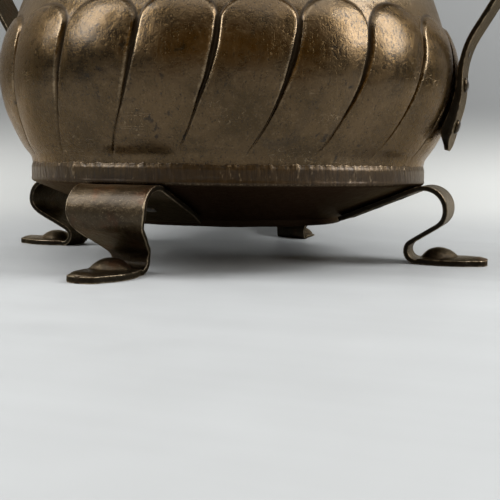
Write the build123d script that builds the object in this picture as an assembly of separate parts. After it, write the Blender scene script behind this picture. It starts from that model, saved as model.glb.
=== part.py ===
from build123d import *
from math import asin, atan2, cos, degrees, radians, sin, tan
import os

# A hand-raised copper planter: a lobed pot standing in a shallow base pan, on four
# scrolled strap feet, with a riveted strap handle on each side. Millimetres, +Z up.
# The origin is on the floor, on the pot's axis. The handles stand on +X and -X.

os.makedirs("parts", exist_ok=True)

# ---- pot ---------------------------------------------------------------------
WALL = 1.5                  # raised copper sheet of the pot
BAND_RADIUS = 132.0         # outside of the band that wraps the pot's lower edge
BAND_TOP = 62.0
PAN_WALL = 1.2              # sheet of the base pan and its band
SKIRT_RADIUS = BAND_RADIUS - PAN_WALL
SKIRT_BOTTOM = 52.8
LOBES_BOTTOM = 64.0
LOBES_TOP = 155.0

LOBES = 20
LOBE_PITCH = 360.0 / LOBES
LOBE_START = 0.5            # azimuth of the first groove, degrees from -Y towards +X
LOBE_WANDER = 2.9           # how far the hand-set grooves drift from even spacing
LOBE_WANDER_PHASE = 13.0
UPRIGHT_Z = 147.0           # the grooves stand upright here and lean more further down
LEAN_RATE = 0.0015          # degrees of lean for each square millimetre below that

# height, radius in a groove, radius on a lobe's crest
BELLY = [
    (LOBES_BOTTOM, 131.4, 131.5),
    (76.0, 137.6, 139.2),
    (90.0, 143.0, 145.8),
    (104.0, 146.6, 150.4),
    (118.0, 147.8, 152.0),
    (132.0, 146.5, 150.6),
    (142.0, 143.8, 147.4),
    (150.0, 140.3, 142.0),
    (LOBES_TOP, 138.8, 139.0),
]
# radius and height of the outside of the neck, from the lobes up to the rim
NECK = [(138.4, LOBES_TOP), (133.5, 168.0), (127.5, 203.0), (131.4, 224.0), (139.6, 235.0)]
NECK_START_SLOPE = -0.40
NECK_END_SLOPE = 0.75

RIM_RADIUS = 142.5          # centre line of the rolled rim
RIM_Z = 236.5
RIM_ROLL = 4.0              # outside radius of the roll
RIM_WIRE = 2.5              # radius of the iron wire inside it

# ---- base pan: centre line of its sheet, from the axis to the band's top ------
CONE_START = (79.6, 29.0)
CONE_END = (BAND_RADIUS - PAN_WALL / 2, 50.4)
PAN_LINE = [(0.0, 24.6), (77.0, 24.6), CONE_START, CONE_END, (CONE_END[0], BAND_TOP)]
PAN_BENDS = [1.5, 1.5, 2.0]
PAN_FLOOR_RADIUS = 75.5     # flat floor, inside the step
CONE_SLOPE = (CONE_END[1] - CONE_START[1]) / (CONE_END[0] - CONE_START[0])
CONE_ANGLE = degrees(atan2(CONE_SLOPE, 1.0))

# ---- straps ------------------------------------------------------------------
STRAP = 3.2                 # thickness of the foot and handle strap
STRAP_WIDTH = 49.5
FIT = 0.03                  # gap between a strap and the sheet that it lies on
SEAT = 0.08                 # gap under a flat rivet head on a curved sheet

FOOT_INNER_X = 82.5         # inner end of a foot strap, under the cone
SCROLL_X = 148.9            # centre line of the scroll where it stands furthest out
RUN_TOP_Z = 28.2            # where the run down to the heel leaves the scroll
RUN_END_X = 107.3           # where the run's line meets the floor
FOOT_BENDS = [13.7, 11.2, 6.9]
HEEL_WIDTH = 24.0
# height, width of a foot strap from the heel up to the scroll
FOOT_TAPER = [(0.0, HEEL_WIDTH), (9.0, HEEL_WIDTH), (15.0, 29.5), (23.0, 40.0), (36.0, STRAP_WIDTH)]
# distance from the axis, width of the pad out to its tip
PAD_OUTLINE = [(131.0, HEEL_WIDTH), (140.0, 29.0), (149.0, 31.0), (160.0, 27.5), (168.0, 20.0)]
PAD_TIP_X = 174.0
PAD_THICKNESS = 4.2
BOSS_X = 144.0              # domed boss embossed in the pad
BOSS_RADIUS = 11.6
BOSS_TOP = 10.8
# azimuth of each foot from +X towards +Y: set by hand, so not quite square
FEET = {"foot_right": 2.0, "foot_back": 87.3, "foot_left": 177.3, "foot_front": 265.8}

# centre line of a handle strap: distance from the axis, height
HANDLE_TIP = (147.0, 72.0)
HANDLE_KNEE = (155.1, 103.5)
HANDLE_HIP = (155.1, 131.3)
HANDLE_PATH = [
    HANDLE_TIP,
    HANDLE_KNEE,
    HANDLE_HIP,
    (199.6, 204.0),
    (186.0, 229.5),
    (131.2, 223.4),
    (131.2, 193.0),
]
HIP_BEND = 50.0
HANDLE_BENDS = [60.0, HIP_BEND, 26.0, 19.0, 7.0]
HANDLE_WIDTH = 28.0
# height, width of a handle strap up its lower leg
HANDLE_TAPER = [(81.0, 25.0), (96.0, 26.8), (112.0, HANDLE_WIDTH), (140.0, HANDLE_WIDTH)]
# inner side of the thickened lower leg, close over the lobes: distance from the axis, height
LEG_INSIDE = [(142.3, 80.0), (146.9, 90.0), (149.2, 96.0), (151.3, 104.0), (152.5, 111.0), (152.9, 120.0)]
HANDLES = {"handle_right": 0.0, "handle_left": 180.0}

# ---- rivets ------------------------------------------------------------------
SHANK = 2.2                 # radius
HEAD = 4.6                  # radius
HEAD_HEIGHT = 2.2
FLUSH_HEIGHT = 0.7          # foot rivets are peened almost flush underneath
BELLY_RIVET_Z = [87.0, 112.0]
NECK_RIVET_Z = [200.0, 210.0]
FOOT_RIVET_X = [103.0, 118.0]
STUB_Z = 131.0
STUB = 2.0                  # radius of the stub rivet above the belly
TOOL_LENGTH = 24.0          # drilled well past both faces


# ---- shared shapes -----------------------------------------------------------
def turn(shape, azimuth):
    """The shape turned about the pot's axis."""
    return Rot(0, 0, azimuth) * shape


def sheet_section(line, bends, thickness):
    """A sheet or strap seen from the side: its centre line given its thickness."""
    return Plane.XZ * trace(FilletPolyline(*line, radius=bends), thickness)


def tapered_outline(stations, start, end):
    """An outline along X, symmetric, through (along, width) stations to two ends."""
    side = [(along, width / 2) for along, width in stations]
    upper = Spline(*side)
    lower = mirror(upper, Plane.XZ)
    first, last = side[0], side[-1]
    near = ThreePointArc(first, (start, 0), (first[0], -first[1]))
    far = ThreePointArc(last, (end, 0), (last[0], -last[1]))
    return make_face([*upper.edges(), *lower.edges(), *near.edges(), *far.edges()])


def seen_from_outside(outline, x, depth):
    """A prism out along +X whose outline, drawn along X, runs up the height."""
    return extrude(Pos(x, 0, 0) * Rot(0, -90, 0) * outline, -depth)


def bar(radius, outer, inner):
    """A round bar along X between two positions."""
    return Pos((outer + inner) / 2, 0, 0) * Rot(0, 90, 0) * Cylinder(radius, outer - inner)


def domed_head(radius, height):
    """A shallow dome standing on the YZ plane, pointing along +X."""
    ball = (radius * radius + height * height) / (2 * height)
    half = asin(radius / ball) / 2
    middle = (height - ball + ball * cos(half), ball * sin(half))
    arc = ThreePointArc((0, radius), middle, (height, 0))
    base = Polyline((height, 0), (0, 0), (0, radius))
    return revolve(make_face([*arc.edges(), *base.edges()]), Axis.X)


def rivet(outer, inner, outer_height=HEAD_HEIGHT):
    """A rivet along X with domed heads seated at the outer and inner positions."""
    outer_head = Pos(outer, 0, 0) * domed_head(HEAD, outer_height)
    inner_head = Pos(inner, 0, 0) * Rot(0, 180, 0) * domed_head(HEAD, HEAD_HEIGHT)
    return bar(SHANK, outer, inner) + outer_head + inner_head


def drilled(shape, places, radius=SHANK):
    """The shape with a hole through it at each place."""
    for place in places:
        shape = shape - place * bar(radius, TOOL_LENGTH, -TOOL_LENGTH)
    return shape


# ---- pot ---------------------------------------------------------------------
def groove_azimuth(index, z):
    """Azimuth of a groove from -Y, with the drift of hand setting and the lean."""
    even = LOBE_START + index * LOBE_PITCH
    wander = LOBE_WANDER * cos(radians(2 * (even + LOBE_WANDER_PHASE)))
    below = max(0.0, UPRIGHT_Z - z)
    return even + wander - LEAN_RATE * below * below


def ring_point(radius, azimuth, z):
    return Vector(radius * sin(radians(azimuth)), -radius * cos(radians(azimuth)), z)


def lobed_ring(z, groove, crest):
    """One level of the belly: an arc for each lobe, from groove to groove."""
    arcs = []
    for index in range(LOBES):
        start = groove_azimuth(index, z)
        end = groove_azimuth((index + 1) % LOBES, z) + (360.0 if index == LOBES - 1 else 0.0)
        arcs.append(ThreePointArc(
            ring_point(groove, start, z),
            ring_point(crest, (start + end) / 2, z),
            ring_point(groove, end, z),
        ))
    return Face(Wire(arcs))


def belly_solid(inset):
    """The skirt and the lobed belly as a full solid, the outside moved in by the inset."""
    belly = loft([lobed_ring(z, groove - inset, crest - inset) for z, groove, crest in BELLY])
    skirt_height = LOBES_BOTTOM - SKIRT_BOTTOM
    skirt = Pos(0, 0, SKIRT_BOTTOM + skirt_height / 2) * Cylinder(SKIRT_RADIUS - inset, skirt_height)
    return skirt + belly


def neck_solid(inset):
    """The neck as a full solid, its outside moved in by the inset."""
    points = [(radius - inset, z) for radius, z in NECK]
    side = Spline(*points, tangents=[(NECK_START_SLOPE, 1.0), (NECK_END_SLOPE, 1.0)])
    back = Polyline(points[-1], (0, points[-1][1]), (0, points[0][1]), points[0])
    return revolve(Plane.XZ * make_face([*side.edges(), *back.edges()]), Axis.Z)


def rim_ring(radius):
    return Pos(0, 0, RIM_Z) * Torus(RIM_RADIUS, radius)


def drilled_on_both_sides(shell, places):
    """The shell with a hole at each place under both handles."""
    for azimuth in HANDLES.values():
        shell = drilled(shell, [turn(place, azimuth) for place in places])
    return shell


def pot_belly():
    """The lower shell of the pot, from its skirt to the tops of its lobes."""
    return drilled_on_both_sides(belly_solid(0) - belly_solid(WALL), belly_rivet_places())


def pot_neck():
    """The upper shell of the pot, its edge rolled round the rim wire."""
    shell = neck_solid(0) - neck_solid(WALL) + (rim_ring(RIM_ROLL) - rim_ring(RIM_WIRE))
    return drilled_on_both_sides(shell, neck_rivet_places())


def groove_radius(z):
    """Outside radius of the pot in a groove at this height."""
    for (low, low_radius, _), (high, high_radius, _) in zip(BELLY, BELLY[1:]):
        if low <= z <= high:
            return low_radius + (high_radius - low_radius) * (z - low) / (high - low)
    raise ValueError("no groove at this height")


# ---- base pan ----------------------------------------------------------------
def floor_cylinder():
    return Pos(0, 0, PAN_LINE[0][1]) * Cylinder(PAN_FLOOR_RADIUS, 4 * PAN_WALL)


def pan_sheet():
    """Flat floor, small step, shallow cone, and the band that wraps the pot."""
    return revolve(sheet_section(PAN_LINE, PAN_BENDS, PAN_WALL), Axis.Z)


def pan_floor():
    """The flat middle of the pan."""
    return pan_sheet() & floor_cylinder()


def pan_side():
    """The pan out from its step to the top of its band."""
    side = pan_sheet() - floor_cylinder()
    for azimuth in FEET.values():
        side = drilled(side, [turn(place, azimuth) for place in foot_rivet_places()])
    return side


def cone_underside(x):
    """Height of the cone's outer face at this distance from the axis."""
    return CONE_START[1] + CONE_SLOPE * (x - CONE_START[0]) - PAN_WALL / 2 / cos(radians(CONE_ANGLE))


# ---- feet --------------------------------------------------------------------
def foot_path():
    """Centre line of a foot strap, its inner length lying flat under the cone."""
    drop = (STRAP / 2 + FIT) / cos(radians(CONE_ANGLE))
    return [
        (FOOT_INNER_X, cone_underside(FOOT_INNER_X) - drop),
        (SCROLL_X, cone_underside(SCROLL_X) - drop),
        (SCROLL_X, RUN_TOP_Z),
        (RUN_END_X, STRAP / 2),
        (PAD_TIP_X, STRAP / 2),
    ]


def foot_rivet_places():
    """Where the rivets cross the cone's outer face, square to it, local X outwards."""
    return [Pos(x, 0, cone_underside(x)) * Rot(0, 90 - CONE_ANGLE, 0) for x in FOOT_RIVET_X]


def boss():
    """The dome on a foot's pad, a cap of a ball."""
    dome = Rot(0, -90, 0) * domed_head(BOSS_RADIUS, BOSS_TOP - PAD_THICKNESS)
    return Pos(BOSS_X, 0, PAD_THICKNESS) * dome


def foot():
    """A foot on +X: under the cone, over the scroll, in to the heel, out to the pad."""
    strap = extrude(sheet_section(foot_path(), FOOT_BENDS, STRAP), STRAP_WIDTH / 2, both=True)
    top = cone_underside(SCROLL_X) + STRAP
    stations = FOOT_TAPER + [(top, STRAP_WIDTH)]
    leg = strap & seen_from_outside(tapered_outline(stations, -1.0, top + 1.0), FOOT_INNER_X - 10.0, 90.0)
    heel_x = PAD_OUTLINE[0][0]
    leg = leg - Pos(heel_x + 40.0, 0, 0) * Box(80.0, 80.0, 4 * STRAP)
    pad = extrude(tapered_outline(PAD_OUTLINE, heel_x - 1.0, PAD_TIP_X), PAD_THICKNESS)
    return drilled(leg + pad + boss(), foot_rivet_places())


# ---- handles -----------------------------------------------------------------
def leg_tilt():
    """Lean of the handle's lower leg from upright, in degrees."""
    return degrees(atan2(HANDLE_KNEE[0] - HANDLE_TIP[0], HANDLE_KNEE[1] - HANDLE_TIP[1]))


def leg_x(z):
    """Centre line of the handle strap on its lower leg and over the belly."""
    return HANDLE_KNEE[0] - max(0.0, HANDLE_KNEE[1] - z) * tan(radians(leg_tilt()))


def belly_rivet_places():
    """Centres of the belly rivets in the strap, square to it."""
    return [Pos(leg_x(z), 0, z) * Rot(0, leg_tilt() if z < HANDLE_KNEE[1] else 0, 0) for z in BELLY_RIVET_Z]


def neck_rivet_places():
    return [Pos(HANDLE_PATH[-1][0], 0, z) for z in NECK_RIVET_Z]


def stub_place():
    """Centre of the stub rivet in the strap, on the bend that leaves the belly."""
    bend_start_z = HANDLE_HIP[1] - HIP_BEND * tan(radians(leg_flare() / 2))
    turned = asin((STUB_Z - bend_start_z) / HIP_BEND)
    return Pos(HANDLE_HIP[0] + HIP_BEND * (1 - cos(turned)), 0, STUB_Z) * Rot(0, degrees(turned), 0)


def leg_flare():
    """Lean of the strap above the hip from upright, in degrees."""
    above = HANDLE_PATH[3]
    return degrees(atan2(above[0] - HANDLE_HIP[0], above[1] - HANDLE_HIP[1]))


def leg_packing():
    """The extra thickness of the lower leg, from its centre line in to the lobes."""
    low, high = LEG_INSIDE[0][1], LEG_INSIDE[-1][1]
    outside = [(leg_x(high), high), HANDLE_KNEE, (leg_x(low), low)]
    outline = Polyline(*LEG_INSIDE, *outside, LEG_INSIDE[0])
    return extrude(Plane.XZ * make_face(outline.edges()), HANDLE_WIDTH / 2, both=True)


def handle():
    """A handle on +X: rounded tip and thick leg on the belly, flared grip, tab on the neck."""
    strap = extrude(sheet_section(HANDLE_PATH, HANDLE_BENDS, STRAP), HANDLE_WIDTH / 2, both=True)
    split_z = HANDLE_TAPER[-1][0]
    leg_outline = tapered_outline(HANDLE_TAPER, HANDLE_TIP[1], split_z + 1.0)
    leg = (strap + leg_packing()) & seen_from_outside(leg_outline, HANDLE_TIP[0] - 20.0, 60.0)
    upper = strap & Pos(HANDLE_KNEE[0], 0, split_z + 60.0) * Box(120.0, 2 * HANDLE_WIDTH, 120.0)
    places = belly_rivet_places() + neck_rivet_places()
    return drilled(drilled(leg + upper, places), [stub_place()], STUB)


# ---- rivets ------------------------------------------------------------------
def belly_rivets(azimuth):
    """The rivets that hold a handle's lower end through the pot's wall."""
    rivets = []
    for place, z in zip(belly_rivet_places(), BELLY_RIVET_Z):
        inside = groove_radius(z) - WALL
        rivets.append(turn(place * rivet(STRAP / 2, inside - leg_x(z) - SEAT), azimuth))
    return rivets


def neck_rivets(azimuth):
    """The rivets that hold a handle's tab against the neck."""
    neck_radius = NECK[2][0]
    inside = neck_radius - WALL - HANDLE_PATH[-1][0]
    return [turn(place * rivet(STRAP / 2, inside - SEAT), azimuth) for place in neck_rivet_places()]


def foot_rivets(azimuth):
    """The rivets through a foot strap and the pan's cone."""
    lower, upper = STRAP + FIT, -PAN_WALL - SEAT
    return [turn(place * rivet(lower, upper, FLUSH_HEIGHT), azimuth) for place in foot_rivet_places()]


def stub_rivet(azimuth):
    """A stub peened flush outside, with a round end inside the strap."""
    stub = bar(STUB, STRAP / 2, -STRAP / 2) + Pos(-STRAP / 2, 0, 0) * Sphere(STUB)
    return [turn(stub_place() * stub, azimuth)]


# ---- write -------------------------------------------------------------------
def write(name, shape):
    shape.label = name
    export_step(shape, "parts/" + name + ".step")


def group(make, azimuths):
    """One node of separate like solids, made at each azimuth."""
    return Compound([solid for azimuth in azimuths for shape in make(azimuth) for solid in shape.solids()])


def main():
    write("pot_belly", pot_belly())
    write("pot_neck", pot_neck())
    write("pan_floor", pan_floor())
    write("pan_side", pan_side())
    write("rim_wire", rim_ring(RIM_WIRE))
    for name, azimuth in FEET.items():
        write(name, turn(foot(), azimuth))
    for name, azimuth in HANDLES.items():
        write(name, turn(handle(), azimuth))
    write("belly_rivets", group(belly_rivets, HANDLES.values()))
    write("neck_rivets", group(neck_rivets, HANDLES.values()))
    write("stub_rivets", group(stub_rivet, HANDLES.values()))
    write("foot_rivets", group(foot_rivets, FEET.values()))


main()
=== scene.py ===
"""A lobed copper planter: a hand-raised pot in a hammered base pan, on scrolled strap feet,
with a riveted strap handle on each side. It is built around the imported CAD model.

Sizes in the code are millimetres and angles are degrees, unless a name says otherwise.
"""

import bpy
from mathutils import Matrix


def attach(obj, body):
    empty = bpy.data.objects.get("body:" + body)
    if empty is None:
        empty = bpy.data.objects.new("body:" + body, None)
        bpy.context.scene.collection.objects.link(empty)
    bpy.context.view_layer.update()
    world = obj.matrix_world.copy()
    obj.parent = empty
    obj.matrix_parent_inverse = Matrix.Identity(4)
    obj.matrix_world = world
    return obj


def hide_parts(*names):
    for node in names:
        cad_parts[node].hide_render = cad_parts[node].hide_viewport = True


bl_info = {
    "name": "Lobed Copper Planter",
    "version": (1, 0, 0),
    "blender": (4, 5, 0),
    "location": "3D View > Sidebar > Planter",
    "description": "Raises a lobed copper pot and sets it on scrolled strap feet",
    "category": "Add Mesh",
}

from math import atan2, cos, hypot, pi, radians, sin, tan

import bpy
import numpy as np
from bpy.props import FloatProperty, FloatVectorProperty, IntProperty, PointerProperty
from mathutils import Matrix, Vector, noise

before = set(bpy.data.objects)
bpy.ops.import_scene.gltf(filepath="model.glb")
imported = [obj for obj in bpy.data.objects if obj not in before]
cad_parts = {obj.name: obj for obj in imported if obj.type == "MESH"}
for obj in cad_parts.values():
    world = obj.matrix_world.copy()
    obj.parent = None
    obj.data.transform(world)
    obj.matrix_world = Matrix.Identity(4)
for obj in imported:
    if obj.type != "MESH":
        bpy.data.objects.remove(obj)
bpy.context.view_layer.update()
MM = 0.001
SEAM = 0.02                 # points closer than this are merged where a grid meets itself
STREAK_SHADE = 0.93         # the sweep's darker streaks, as a share of its colour


# ---- arithmetic on sockets ---------------------------------------------------
def wired(operation, flip=False):
    """An operator's method, which adds the Math node for a wire and what it's worked on with."""
    def method(*terms):
        return maths(operation, *(reversed(terms) if flip else terms))

    return method


class Wire:
    """The output of a node. Used in an expression, it adds the Math nodes for it."""

    def __init__(self, bench, socket):
        self.bench = bench
        self.socket = socket

    __add__ = __radd__ = wired("ADD")
    __mul__ = __rmul__ = wired("MULTIPLY")
    __sub__ = wired("SUBTRACT")
    __rsub__ = wired("SUBTRACT", flip=True)
    __truediv__ = wired("DIVIDE")
    __rtruediv__ = wired("DIVIDE", flip=True)
    __pow__ = wired("POWER")
    __abs__ = wired("ABSOLUTE")


class Outputs:
    """The outputs of a node, by name or position."""

    def __init__(self, bench, made):
        self.bench = bench
        self.made = made

    def __getitem__(self, key):
        return Wire(self.bench, self.made.outputs[key])


class Bench:
    """Adds and joins the nodes of one tree."""

    def __init__(self, tree):
        self.tree = tree

    def node(self, kind, sockets=None, **settings):
        """A node with its settings made first, then its sockets linked or set."""
        made = self.tree.nodes.new(kind)
        for name, value in settings.items():
            setattr(made, name, value)
        for key, value in (sockets or {}).items():
            for part in value if isinstance(value, list) else [value]:
                if isinstance(part, Wire):
                    self.tree.links.new(part.socket, made.inputs[key])
                else:
                    made.inputs[key].default_value = part
        return Outputs(self, made)

    def parts(self, vector):
        return self.node("ShaderNodeSeparateXYZ", {0: vector})

    def vector(self, x, y, z):
        return self.node("ShaderNodeCombineXYZ", {0: x, 1: y, 2: z})[0]

    def scaled(self, vector, factors):
        return self.node("ShaderNodeVectorMath", {0: vector, 1: factors}, operation="MULTIPLY")[0]

    def noise(self, vector, scale, detail=2.0, rough=0.5, distortion=0.0):
        """Noise about zero, mostly within a quarter either way."""
        return self.node("ShaderNodeTexNoise", {
            "Vector": vector, "Scale": scale, "Detail": detail,
            "Roughness": rough, "Distortion": distortion,
        })[0] - 0.5

    def chance(self, value):
        """A fixed random number from 0 to 1 for each whole value."""
        return self.node("ShaderNodeTexWhiteNoise", {"W": value}, noise_dimensions="1D")[0]


def maths(operation, *terms):
    bench = next(term.bench for term in terms if isinstance(term, Wire))
    return bench.node("ShaderNodeMath", dict(enumerate(terms)), operation=operation)[0]


def ramp(value, low, high, start=0.0, end=1.0):
    """Moves smoothly from start to end as the value goes from low to high."""
    if not isinstance(low, Wire) and not isinstance(high, Wire) and low > high:
        low, high, start, end = high, low, end, start
    sockets = {"Value": value, "From Min": low, "From Max": high, "To Min": start, "To Max": end}
    return value.bench.node("ShaderNodeMapRange", sockets, interpolation_type="SMOOTHSTEP")[0]


def shade(colour):
    """A colour with the alpha that a socket wants."""
    return (*colour[:3], 1.0)


def mix(factor, first, second):
    """A colour between two colours."""
    first, second = (one if isinstance(one, Wire) else shade(one) for one in (first, second))
    sockets = {0: factor, 6: first, 7: second}
    return factor.bench.node("ShaderNodeMix", sockets, data_type="RGBA", clamp_factor=True)[2]


def layered(base, *layers):
    """A colour with others laid over it in turn, each as far as its factor says."""
    for factor, colour in layers:
        base = mix(factor, base, colour)
    return base


# ---- finishes ----------------------------------------------------------------
def new_finish(name):
    """A material, its bench and the coordinates on the piece."""
    material = bpy.data.materials.new(name)
    material.use_nodes = True
    material.node_tree.nodes.clear()
    bench = Bench(material.node_tree)
    return material, bench, bench.node("ShaderNodeTexCoord")["Object"]


def dressed(material, bench, sockets, hidden=None):
    """The material ended with its one shader, which is clear where hidden is 1."""
    surface = bench.node("ShaderNodeBsdfPrincipled", sockets)["BSDF"]
    if hidden is not None:
        clear = bench.node("ShaderNodeBsdfTransparent")["BSDF"]
        surface = bench.node("ShaderNodeMixShader", {0: hidden, 1: surface, 2: clear})[0]
    bench.node("ShaderNodeOutputMaterial", {"Surface": surface})
    return material


def attribute(bench, name):
    return bench.node("ShaderNodeAttribute", attribute_name=name)["Fac"]


def bumped(height, strength, depth):
    """The normal of a skin whose relief follows a height, to a depth in millimetres."""
    sockets = {"Strength": strength, "Distance": depth * MM, "Height": height}
    return height.bench.node("ShaderNodeBump", sockets)[0]


def scratches(bench, place, angles, stretch, width):
    """Fine lines where stretched noise crosses zero: 1 on a line, 0 off it."""
    sockets = {"Vector": place, "Rotation": angles, "Scale": stretch}
    line = bench.noise(bench.node("ShaderNodeMapping", sockets)[0], 1.0, 1.0)
    patch = ramp(bench.noise(place, 38.0, 1.0), 0.06, 0.16)
    return ramp(abs(line), width, 0.0) * patch


def pot_finish(colours):
    """Brown patina over raised copper: worn lips, grooves darkened with dirt and painted shade, pits,
    spots and scratches.
    """
    material, bench, place = new_finish("pot_copper")
    height = bench.parts(place)["Z"]
    cloud = bench.noise(place, 16.0, 3.0, 0.6)
    patch = bench.noise(place, 55.0, 4.0, 0.65, 0.6)
    grain = bench.noise(place, 230.0, 4.0, 0.7)
    speck = bench.noise(place, 950.0, 2.0, 0.6)
    drawn = bench.noise(bench.scaled(place, (900.0, 900.0, 60.0)), 1.0, 2.0, 0.6)
    tone = ramp(cloud + patch * 0.6 + grain * 0.35, -0.20, 0.22)
    high = ramp(height + cloud * 0.03, 0.140, 0.164)
    freckle = ramp(speck + grain * 0.5, 0.06, 0.22)
    pore = ramp(speck * 0.7 + drawn * 0.6, -0.07, -0.20)
    stain = ramp(bench.noise(place, 28.0, 4.0, 0.7, 0.8), 0.06, 0.20)
    spot = ramp(bench.noise(place, 95.0, 3.0, 0.6, 0.4), 0.15, 0.22)
    rubbed = ramp(attribute(bench, "lip") + grain * 1.1 + patch * 0.5, 0.50, 1.05)
    # grooves: real dirt in the valleys, and painted shade where their walls would be in shadow
    grime_and_shade = ramp(attribute(bench, "valley") + grain * 0.7 + speck * 0.4, 0.35, 0.85)
    score = scratches(bench, place, (0.5, 0.3, 0.9), (16.0, 130.0, 300.0), 0.008)
    nick = scratches(bench, place, (1.9, 0.8, 0.2), (260.0, 22.0, 180.0), 0.006)
    lines = maths("MAXIMUM", score, nick)
    base = layered(
        mix(tone, colours.patina, colours.worn),
        (high * 0.75, colours.grey),
        (freckle * 0.08, colours.bright),
        (pore * 0.7, colours.dirt_and_shade),
        (stain * 0.35, colours.dirt_and_shade),
        (spot * 0.8, colours.dirt_and_shade),
        (rubbed * 0.35, colours.bright),
        # dirt and painted shade darken the grooves
        (grime_and_shade * 0.88, colours.dirt_and_shade),
        (lines * 0.45, colours.bright),
    )
    rough = 0.29 + grain * 0.34 + patch * 0.20 + cloud * 0.10 + grime_and_shade * 0.25 - rubbed * 0.04
    relief = speck * 0.16 + grain * 0.60 + drawn * 0.14 + patch * 0.5
    return dressed(material, bench, {
        "Base Color": base,
        "Roughness": maths("MINIMUM", rough + high * 0.07, 0.8),
        "Metallic": ramp(grime_and_shade, 0.0, 1.0, 0.95, 0.55),
        "Normal": bumped(relief - spot * 0.12 - lines * 0.12 - pore * 0.10, 0.75, 0.8),
        "Specular Tint": (0.78, 0.59, 0.40, 1),
        "Coat Weight": 0.35 - grime_and_shade * 0.3,
        "Coat Roughness": 0.26,
    })


def pan_finish(colours):
    """Darker patina, with the light streaks of a cross-peen hammer on the band."""
    material, bench, place = new_finish("pan_copper")
    height = bench.parts(place)["Z"]
    cloud = bench.noise(place, 14.0, 3.0, 0.6)
    grain = bench.noise(place, 260.0, 4.0, 0.65)
    speck = bench.noise(place, 1000.0, 2.0, 0.6)
    fine = bench.noise(bench.scaled(place, (700.0, 700.0, 90.0)), 1.0, 3.0, 0.65)
    tone = ramp(cloud + grain * 0.5, -0.18, 0.2)
    band = ramp(height, 0.0495, 0.0525)
    purple = ramp(bench.noise(place, 9.0, 1.0) + (0.0585 - height) * 45.0, -0.05, 0.25) * band
    ridge = ramp(attribute(bench, "stroke") + fine * 0.9, 0.45, 1.0) * band
    crease = ramp(attribute(bench, "crease") + speck * 2.6 + fine * 1.5, 0.85, 1.25)
    base = layered(
        mix(tone, colours.patina, colours.worn),
        (ramp(fine, 0.08, -0.16) * 0.75, colours.dirt_and_shade),
        (purple * 0.65, colours.purple),
        (ridge * 0.45, colours.bright),
        (crease * 0.55, colours.bright),
        # painted shade: all of the pan off its band, its underside, painted near black
        (1.0 - band, colours.painted_shade),
    )
    return dressed(material, bench, {
        "Base Color": base,
        "Roughness": 0.44 + grain * 0.30 - ridge * 0.06 + cloud * 0.10,
        "Metallic": 0.9,
        "Normal": bumped(grain * 0.6 + fine * 0.5 + speck * 0.12, 0.6, 0.7),
        "Specular Tint": (0.66, 0.52, 0.34, 1),
        "Coat Weight": band * 0.45 + 0.05,
        "Coat Roughness": 0.35,
    })


def strap_finish(colours):
    """Black-brown patina on forged strap, with corners worn bright and partly given a painted
    highlight, and painted shade on the sides, the underside and under the pan.
    """
    material, bench, place = new_finish("strap_copper")
    # side: painted shade on a strap's sides and underside
    side = attribute(bench, "side")
    where = bench.parts(place)
    from_axis = maths("SQRT", where["X"] * where["X"] + where["Y"] * where["Y"])
    cloud = bench.noise(place, 30.0, 3.0, 0.6)
    grain = bench.noise(place, 330.0, 4.0, 0.7)
    speck = bench.noise(place, 1300.0, 2.0, 0.6)
    tone = ramp(cloud + grain * 0.5, -0.18, 0.2)
    rust = ramp(bench.noise(place, 48.0, 3.0, 0.6, 0.5), 0.02, 0.20)
    freckle = ramp(speck + grain * 0.6, 0.08, 0.26)
    # under: painted shade on the part of a foot under the pan's cone
    under = ramp(from_axis + cloud * 0.004, 0.131, 0.116) * ramp(where["Z"], 0.060, 0.050)
    # corners: partly real wear, partly a painted highlight along the rounded edges
    worn = ramp(attribute(bench, "corner") + grain * 1.2 + cloud * 0.6, 0.72, 1.08)
    rubbed = worn * (1.0 - under * 0.7)
    base = layered(
        mix(tone, colours.patina, colours.worn),
        (rust * 0.6, colours.red),
        (freckle * 0.28, colours.bright),
        # painted shade on the sides, the underside and under the pan
        (maths("MAXIMUM", side * 0.85, under * 0.9), colours.painted_shade),
        (rubbed * 0.75, colours.bright),
    )
    dull = maths("MAXIMUM", side * 0.15, under * 0.25)
    return dressed(material, bench, {
        "Base Color": base,
        "Roughness": 0.38 + grain * 0.40 - rubbed * 0.08 + dull,
        "Metallic": 0.92,
        "Normal": bumped(grain * 0.9 + speck * 0.25 + cloud * 0.6, 0.75, 0.8),
        "Specular Tint": (0.80, 0.66, 0.48, 1),
        "Coat Weight": 0.2 - maths("MAXIMUM", side * 0.15, under * 0.19),
        "Coat Roughness": 0.3,
    })


def rivet_finish(colours):
    """Brown rivets, rubbed paler in scattered specks."""
    material, bench, place = new_finish("rivet_copper")
    grain = bench.noise(place, 420.0, 3.0, 0.6)
    speck = bench.noise(place, 1500.0, 2.0, 0.6)
    tone = mix(ramp(grain, -0.15, 0.15), colours.patina, colours.worn)
    return dressed(material, bench, {
        "Base Color": mix(ramp(speck + grain, 0.05, 0.3) * 0.5, tone, colours.bright),
        "Roughness": 0.34 + grain * 0.3,
        "Metallic": 0.95,
        "Normal": bumped(grain + speck * 0.2, 0.5, 0.4),
    })


def wire_finish(colours):
    """Drawn iron wire with a little rust."""
    material, bench, place = new_finish("iron_wire")
    grain = bench.noise(place, 300.0, 4.0, 0.6)
    return dressed(material, bench, {
        "Base Color": mix(ramp(grain, 0.0, 0.2), colours.iron, colours.rust),
        "Roughness": 0.6 + grain * 0.3,
        "Metallic": 0.8,
    })


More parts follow.
